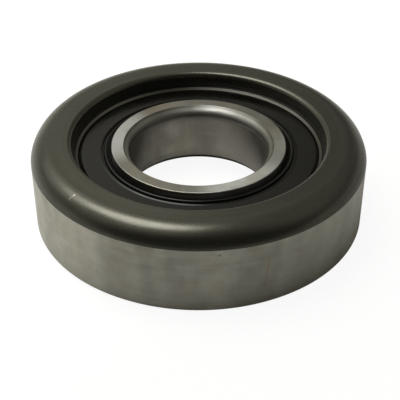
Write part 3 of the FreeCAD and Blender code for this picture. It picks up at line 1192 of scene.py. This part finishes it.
@dataclass
class OuterRing:
    """The heavy outer ring: ground tread, round shoulder, stepped recesses, seal seats and the raceway.

    Attributes:
        tread: Radius of the tread, in millimetres, as all sizes here.
        width: Height of the ring.
        shoulder: Radius of the shoulder's rounding.
        shoulder_foot: Height where the shoulder meets the tread.
        foot_chamfer: Chamfer at the foot.
        recess: Radius of the recess wall.
        recess_lip: Rounding at the recess's edge.
        recess_root: Rounding at the recess's root.
        ledge: Height of the ledge in the recess.
        mouth: Radius of the mouth that the seal snaps past.
        mouth_chamfer: Chamfer above the mouth.
        mouth_land: Height of the mouth's straight part.
        mouth_slope: Height of the slope below it, into the groove.
        groove: Radius of the groove that holds the seal.
        seat: Height of the seal's seat.
        land: Radius of the land beside the raceway.
        raceway_edge: Half the raceway's width at the land.
        raceway: Radius of the raceway's round.
        edge_break: Rounding of small edges.
    """

    tread: float = 53.983
    width: float = 27.999
    shoulder: float = 7.0
    shoulder_foot: float = 22.6
    foot_chamfer: float = 0.7
    recess: float = 40.6
    recess_lip: float = 1.7
    recess_root: float = 0.4
    ledge: float = 22.95
    mouth: float = 38.95
    mouth_chamfer: float = 0.7
    mouth_land: float = 0.35
    mouth_slope: float = 0.4
    groove: float = 39.35
    seat: float = 20.85
    land: float = 37.6
    raceway_edge: float = 4.51
    raceway: float = 6.604
    edge_break: float = 0.12

    def recess_corners(self) -> list[Corner]:
        """The corners of the upper recess, from the top face down to the land.

        Returns:
            The corners in order.
        """
        step = self.ledge - self.mouth_chamfer
        return [
            Corner(self.recess, self.width, self.recess_lip),
            Corner(self.recess, self.width - self.recess_lip, surface=Surface.RECESS),
            Corner(self.recess, self.ledge, self.recess_root, surface=Surface.LEDGE),
            Corner(self.mouth + self.mouth_chamfer, self.ledge, 0.08, surface=Surface.MOUTH),
            Corner(self.mouth, step, 0.1),
            Corner(self.mouth, step - self.mouth_land, 0.06),
            Corner(self.groove, step - self.mouth_land - self.mouth_slope),
            Corner(self.groove, self.seat, 0.1),
            Corner(self.land, self.seat, self.edge_break),
        ]

    def outline(self) -> Outline:
        """Draws the section of the ring.

        Returns:
            The closed outline.
        """
        middle = self.width / 2
        upper = self.recess_corners()
        before = [Surface.BLACKENED, *(c.surface for c in upper[:-1])]
        lower = [
            Corner(c.radius, self.width - c.height, c.ease, surface=surface)
            for c, surface in zip(reversed(upper), reversed(before))
        ]
        rise = self.shoulder_foot - (self.width - self.shoulder)
        flat_from = self.tread - math.sqrt(self.shoulder**2 - rise**2)
        corners = [
            Corner(self.tread - self.foot_chamfer, 0.0),
            Corner(self.tread, self.foot_chamfer, 0.08, surface=Surface.TREAD),
            Corner(self.tread, self.shoulder_foot, bow=self.shoulder),
            Corner(flat_from, self.width),
            *upper,
            Corner(self.land, middle + self.raceway_edge, bow=-self.raceway, surface=Surface.RACEWAY),
            Corner(self.land, middle - self.raceway_edge),
            *lower,
        ]
        return Outline(corners)

    def build(self) -> bpy.types.Object:
        """Turns the ring and dresses it.

        Returns:
            The piece.
        """
        finishes = {
            Surface.BLACKENED: BLACKENED.make(),
            Surface.TREAD: TREAD.make(),
            Surface.RECESS: RECESSED.make(),
            Surface.LEDGE: LEDGE.make(),
            Surface.MOUTH: MOUTH.make(),
            Surface.RACEWAY: RACEWAY.make(),
        }
        piece = lathe("dressed_outer_ring", self.outline(), finishes)
        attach(piece, "outer")
        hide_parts("outer_ring")
        return piece


@dataclass
class InnerRing:
    """The narrower inner ring: ground faces, a two-part corner at each end of the bore, and the raceway.

    Attributes:
        bore: Radius of the bore, in millimetres, as all sizes here.
        outside: Radius of the outside.
        foot: Height of its lower face.
        top: Height of its upper face.
        corner_width: Width of the bore's corner.
        corner_reach: Depth of the corner's flatter part.
        lead_width: Width of the corner's steeper part.
        lead_reach: Depth of the whole corner.
        corner_ease: Rounding between the upper corner's two parts.
        lower_ease: Rounding between the lower corner's two parts.
        lead_ease: Rounding between a corner and the bore.
        face_ease: Rounding between a corner and a face.
        corner_finish: Depth to which the upper corner's finish reaches.
        edge: Rounding of the outer edges.
        raceway_edge: Half the raceway's width at the outside.
        raceway: Radius of the raceway's round.
    """

    bore: float = 22.5
    outside: float = 28.25
    foot: float = 3.5
    top: float = 24.5
    corner_width: float = 1.75
    corner_reach: float = 1.65
    lead_width: float = 0.25
    lead_reach: float = 4.3
    corner_ease: float = 2.5
    lower_ease: float = 0.8
    lead_ease: float = 3.0
    face_ease: float = 0.3
    corner_finish: float = 3.9
    edge: float = 0.35
    raceway_edge: float = 4.346
    raceway: float = 6.604

    def outline(self) -> Outline:
        """Draws the section of the ring.

        Returns:
            The closed outline.
        """
        middle = (self.foot + self.top) / 2
        share = (self.lead_reach - self.corner_finish) / (self.lead_reach - self.corner_reach)
        lead, edge = self.bore + self.lead_width, self.bore + self.corner_width
        finish = self.top - self.corner_finish
        return Outline(
            [
                Corner(self.bore, self.foot + self.lead_reach, self.lead_ease, surface=Surface.BORE),
                Corner(lead, self.foot + self.corner_reach, self.lower_ease, surface=Surface.UNDERSIDE),
                Corner(edge, self.foot, self.face_ease, surface=Surface.FACE),
                Corner(self.outside, self.foot, self.edge, surface=Surface.FACE),
                Corner(self.outside, middle - self.raceway_edge, bow=-self.raceway, surface=Surface.RACEWAY),
                Corner(self.outside, middle + self.raceway_edge, surface=Surface.FACE),
                Corner(self.outside, self.top, self.edge, surface=Surface.FACE),
                Corner(edge, self.top, self.face_ease, surface=Surface.CORNER),
                Corner(lead, self.top - self.corner_reach, self.corner_ease, surface=Surface.CORNER),
                Corner(self.bore + share * self.lead_width, finish, surface=Surface.BORE),
                Corner(self.bore, self.top - self.lead_reach, self.lead_ease, surface=Surface.BORE),
            ]
        )

    def build(self) -> bpy.types.Object:
        """Turns the ring and dresses it.

        Returns:
            The piece.
        """
        finishes = {
            Surface.FACE: FACE.make(),
            Surface.CORNER: CORNER.make(),
            Surface.UNDERSIDE: UNDERSIDE.make(),
            Surface.BORE: BORE.make(),
            Surface.RACEWAY: RACEWAY.make(),
        }
        piece = lathe("dressed_inner_ring", self.outline(), finishes)
        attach(piece, "inner")
        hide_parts("inner_ring")
        return piece


@dataclass
class Seal:
    """One moulded seal: rim, bevel, flat, ramp, trough, bead and lip.

    Attributes:
        side: Which way up it sits.
        middle: Height of the ball plane, in millimetres, as all sizes here.
        rim: Radii of the rim's inside and outside.
        rim_heights: Heights of the rim's underside and edge.
        bevel: Radii where the bevel begins and ends.
        bevel_foot: Height where the bevel begins.
        flat: Height of the flat.
        ramp: Radius where the ramp begins.
        crest: Radius and height of the ramp's crest.
        trough: Radii of the trough's sides.
        trough_floor: Height of its floor.
        bead: Radii of the bead's sides.
        bead_foot: Height of its foot.
        bead_round: Radius of its round back.
        lip: Radius of the lip's edge.
        lip_heights: Heights of the lip's upper and lower edge.
        underside: Height of the underside.
        web: Radii where the underside begins and ends.
    """

    side: Side
    middle: float = 14.0
    rim: Flat = (37.7, 39.29)
    rim_heights: Flat = (20.85, 21.4)
    bevel: Flat = (38.85, 37.85)
    bevel_foot: float = 21.85
    flat: float = 22.5
    ramp: float = 32.0
    crest: Flat = (31.4, 22.72)
    trough: Flat = (31.2, 30.85)
    trough_floor: float = 22.2
    bead: Flat = (30.65, 29.55)
    bead_foot: float = 22.75
    bead_round: float = 0.6
    lip: float = 28.3
    lip_heights: Flat = (21.7, 21.4)
    underside: float = 21.5
    web: Flat = (30.4, 37.05)

    def outline(self) -> Outline:
        """Draws the section of the seal.

        Returns:
            The closed outline.
        """
        spots = (
            (self.rim[0], self.rim_heights[0], 0.1),
            (self.rim[1], self.rim_heights[0], 0.15),
            (self.rim[1], self.rim_heights[1], 0.15),
            (self.bevel[0], self.bevel_foot, 0.12),
            (self.bevel[1], self.flat, 0.25),
            (self.ramp, self.flat, 0.5),
            (*self.crest, 0.12),
            (self.trough[0], self.trough_floor, 0.1),
            (self.trough[1], self.trough_floor, 0.1),
            (self.bead[0], self.bead_foot, 0.0, self.bead_round),
            (self.bead[1], self.bead_foot),
            (self.lip, self.lip_heights[0], 0.08),
            (self.lip, self.lip_heights[1], 0.08),
            (self.web[0], self.underside, 0.3),
            (self.web[1], self.underside, 0.15),
        )
        corners = [Corner(*spot, surface=Surface.RUBBER) for spot in spots]
        if self.side is Side.LOWER:
            corners = self.turned_over(corners)
        return Outline(corners)

    def turned_over(self, corners: list[Corner]) -> list[Corner]:
        """Mirrors the section about the ball plane and keeps the rubber on its left.

        Args:
            corners: The corners of the upper seal.

        Returns:
            The corners of the lower seal.
        """
        count = len(corners)
        made = []
        for k in range(count):
            corner = corners[-1 - k]
            bow = corners[-2 - k].bow if k < count - 1 else corners[-1].bow
            height = 2 * self.middle - corner.height
            made.append(Corner(corner.radius, height, corner.ease, bow, corner.surface))
        return made

    def build(self) -> bpy.types.Object:
        """Turns the seal and dresses it.

        Returns:
            The piece.
        """
        node = f"{self.side.name.lower()}_seal"
        piece = lathe(f"dressed_{node}", self.outline(), {Surface.RUBBER: RUBBER.make()})
        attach(piece, "outer")
        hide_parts(node)
        return piece


@dataclass
class Carried:
    """Construction pieces whose shape is right and that only take a finish: cage, rivets and balls.

    Attributes:
        balls: How many balls there are.
    """

    balls: int = 9

    def finishes(self) -> dict[str, Finish]:
        """Chooses the finish of each piece.

        Returns:
            The finish by the name of the piece.
        """
        chosen: dict[str, Finish] = {
            "cage_upper_half": PRESSED,
            "cage_lower_half": PRESSED,
            "cage_rivets": RIVETED,
        }
        for number in range(1, self.balls + 1):
            chosen[f"ball_{number}"] = LAPPED
        return chosen

    def dress(self) -> list[bpy.types.Object]:
        """Gives each piece its finish.

        Returns:
            The pieces.
        """
        dressed = []
        for name, finish in self.finishes().items():
            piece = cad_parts[name]
            material = finish.make()
            if piece.material_slots:
                for slot in piece.material_slots:
                    slot.material = material
            else:
                piece.data.materials.append(material)
            dressed.append(piece)
        return dressed


@dataclass(frozen=True)
class Lamp:
    """One round soft light that faces the bearing.

    Attributes:
        name: Its name.
        way: The direction from the bearing to it.
        size: Its diameter in metres.
        power: Its power in watts.
    """

    name: str
    way: Triple
    size: float
    power: float


@dataclass
class Studio:
    """The plain floor, the soft lights and the camera.

    Attributes:
        distance: From the camera to the foot of the axis, in metres.
        elevation: How far the camera stands above the floor, in degrees.
        lens: Focal length for a 36 mm wide picture, in millimetres.
        shift: How far the picture is shifted, as shares of its width.
        left: Brightness of the surroundings on the left.
        right: Brightness of the surroundings on the right.
        far_left: Share of the left's brightness far out.
        far_right: Share of the right's brightness far out.
        raised: Shares of the brightness at a third and at two thirds of the way up.
        horizon: How much brighter they are low down.
        front: Brightness in front, where the room is dark.
        middle_over: Where the left turns into the right, in parts of a direction, as all these spans.
        left_over: Where the left's brightness changes far out.
        right_over: Where the right's brightness changes far out.
        raised_over: Where the brightness changes with the height.
        horizon_over: Where the horizon's brightness ends.
        front_over: Where the dark front begins and is full.
        tint: Colour of the surroundings.
        lamps: The lights.
        lamp_distance: How far away they hang, in metres.
        lamp_colour: Their colour.
        floor_reach: Radius of the floor, in metres.
        floor_sides: How many sides its rim has.
        floor_drop: How far it lies under the bearing, in metres.
        glow: Brightness of the paper to the camera.
        glow_share: How much of that the camera sees.
    """

    distance: float = 0.33464
    elevation: float = 35.744
    lens: float = 89.192
    shift: Flat = (0.00339, 0.01106)
    left: float = 0.67
    right: float = 0.22
    far_left: float = 0.65
    far_right: float = 1.2
    raised: Flat = (0.8, 1.42)
    horizon: float = 0.4
    front: float = 0.06
    middle_over: Flat = (-0.18, 0.18)
    left_over: Flat = (-0.7, -0.3)
    right_over: Flat = (0.3, 0.7)
    raised_over: Flat = (0.42, 0.68)
    horizon_over: Flat = (0.05, 0.3)
    front_over: Flat = (0.0, 0.65)
    tint: Colour = (1.0, 0.98, 0.84)
    lamps: tuple[Lamp, ...] = (
        Lamp("key", (-0.26, 0.17, 0.95), 0.50, 3.2),
        Lamp("fill", (-0.50, 0.33, 0.80), 0.36, 0.6),
        Lamp("side", (-0.65, 0.40, 0.64), 0.60, 0.45),
    )
    lamp_distance: float = 0.9
    lamp_colour: Colour = (1.0, 1.0, 0.98)
    floor_reach: float = 3.0
    floor_sides: int = 96
    floor_drop: float = 0.00004
    glow: float = 1.12
    glow_share: float = 0.82

    def camera(self) -> None:
        """Stands the camera at the photograph's angle."""
        data = bpy.data.cameras.new("camera")
        data.lens = self.lens
        data.sensor_width = 36.0
        data.shift_x, data.shift_y = self.shift
        data.clip_start, data.clip_end = 0.01, 20.0
        camera = bpy.data.objects.new("camera", data)
        bpy.context.scene.collection.objects.link(camera)
        tilt = math.radians(self.elevation)
        camera.location = (0.0, -self.distance * math.cos(tilt), self.distance * math.sin(tilt))
        camera.rotation_euler = (math.pi / 2 - tilt, 0.0, 0.0)
        bpy.context.scene.camera = camera

    def hang(self, lamp: Lamp) -> None:
        """Hangs one light.

        Args:
            lamp: The light.
        """
        data = bpy.data.lights.new(lamp.name, "AREA")
        data.shape = "DISK"
        data.size = lamp.size
        data.energy = lamp.power
        data.color = self.lamp_colour
        light = bpy.data.objects.new(lamp.name, data)
        bpy.context.scene.collection.objects.link(light)
        way = Vector(lamp.way).normalized()
        light.location = way * self.lamp_distance
        light.rotation_mode = "QUATERNION"
        light.rotation_quaternion = way.to_track_quat("Z", "Y")

    def floor(self) -> None:
        """Lays the pale floor, which looks white to the camera and takes a faint shadow; its colour holds a
        painted shade, darker on the right and front half.
        """
        mesh = bpy.data.meshes.new("floor")
        rim = []
        for k in range(self.floor_sides):
            turned = 2 * math.pi * k / self.floor_sides
            across, along = math.cos(turned), math.sin(turned)
            rim.append((self.floor_reach * across, self.floor_reach * along, -self.floor_drop))
        mesh.from_pydata(rim, [], [list(range(self.floor_sides))])
        floor = bpy.data.objects.new("floor", mesh)
        bpy.context.scene.collection.objects.link(floor)
        material = bpy.data.materials.new("floor_paper")
        material.use_nodes = True
        wiring = Wiring(material.node_tree)
        shader = material.node_tree.nodes["Principled BSDF"]
        shader.inputs["Roughness"].default_value = 0.9
        shader.inputs["Specular IOR Level"].default_value = 0.1
        place = wiring.node("ShaderNodeTexCoord").outputs["Object"]
        tooth = wiring.noise(place, 900.0, 2.0, 0.5)
        paper = wiring.blend(tooth, (0.95, 0.95, 0.95), (0.98, 0.98, 0.98))
        # Painted shade: the floor's colour is darker on the right and front half, where less light falls, and
        # the metal's reflections show it.
        across = wiring.vectors("DOT_PRODUCT", place, (0.75, -0.66, 0.0)).outputs["Value"]
        paper = wiring.blend(wiring.rising(across, -0.05, 0.05), paper, (0.56, 0.56, 0.56))
        wiring.feed(shader.inputs["Base Color"], paper)
        glow = wiring.node("ShaderNodeEmission")
        glow.inputs["Strength"].default_value = self.glow
        mixer = wiring.node("ShaderNodeMixShader")
        seen = wiring.node("ShaderNodeLightPath").outputs["Is Camera Ray"]
        wiring.feed(mixer.inputs["Fac"], wiring.maths("MULTIPLY", seen, self.glow_share))
        wiring.feed(mixer.inputs[1], shader.outputs["BSDF"])
        wiring.feed(mixer.inputs[2], glow.outputs["Emission"])
        wiring.feed(material.node_tree.nodes["Material Output"].inputs["Surface"], mixer.outputs["Shader"])
        mesh.materials.append(material)

    def sky(self) -> None:
        """Sets the soft light that comes from everywhere."""
        world = bpy.data.worlds.new("studio")
        world.use_nodes = True
        wiring = Wiring(world.node_tree)
        back = world.node_tree.nodes["Background"]
        way = wiring.node("ShaderNodeTexCoord").outputs["Generated"]
        split = wiring.node("ShaderNodeSeparateXYZ")
        wiring.feed(split.inputs[0], way)
        across, up = split.outputs["X"], split.outputs["Z"]
        front = wiring.rising(wiring.maths("MULTIPLY", split.outputs["Y"], -1.0), *self.front_over)
        side = wiring.rising(across, *self.middle_over, self.left, self.right)
        for value, over, ends in (
            (across, self.left_over, (self.far_left, 1.0)),
            (across, self.right_over, (1.0, self.far_right)),
            (up, self.raised_over, self.raised),
        ):
            side = wiring.maths("MULTIPLY", side, wiring.rising(value, *over, *ends))
        low = wiring.rising(wiring.maths("ABSOLUTE", up), *self.horizon_over, self.horizon, 0.0)
        bright = wiring.maths("ADD", side, low)
        level = wiring.node("ShaderNodeMix", data_type="FLOAT")
        wiring.feed(level.inputs["Factor"], front)
        wiring.feed(level.inputs[2], bright)
        wiring.feed(level.inputs[3], self.front)
        back.inputs["Color"].default_value = (*self.tint, 1.0)
        wiring.feed(back.inputs["Strength"], level.outputs[0])
        bpy.context.scene.world = world

    def build(self) -> None:
        """Sets up the camera, the floor, the lights and the picture's tones."""
        self.camera()
        self.floor()
        self.sky()
        for lamp in self.lamps:
            self.hang(lamp)
        scene = bpy.context.scene
        scene.view_settings.view_transform = "Standard"
        scene.view_settings.look = "None"
        scene.view_settings.exposure = 0.0
        scene.view_settings.gamma = 1.0


def main() -> None:
    """Builds the studio and the pieces in order, and logs each one."""
    logging.basicConfig(level=logging.INFO, format="%(name)s: %(message)s")
    Studio().build()
    LOG.info("camera, floor and lights")
    for maker in (OuterRing(), InnerRing(), Seal(Side.UPPER), Seal(Side.LOWER)):
        piece = maker.build()
        LOG.info("%s: %d faces", piece.name, len(piece.data.polygons))
    for piece in Carried().dress():
        LOG.info("%s: finish %s", piece.name, piece.material_slots[0].material.name)


if __name__ == "__main__":
    main()
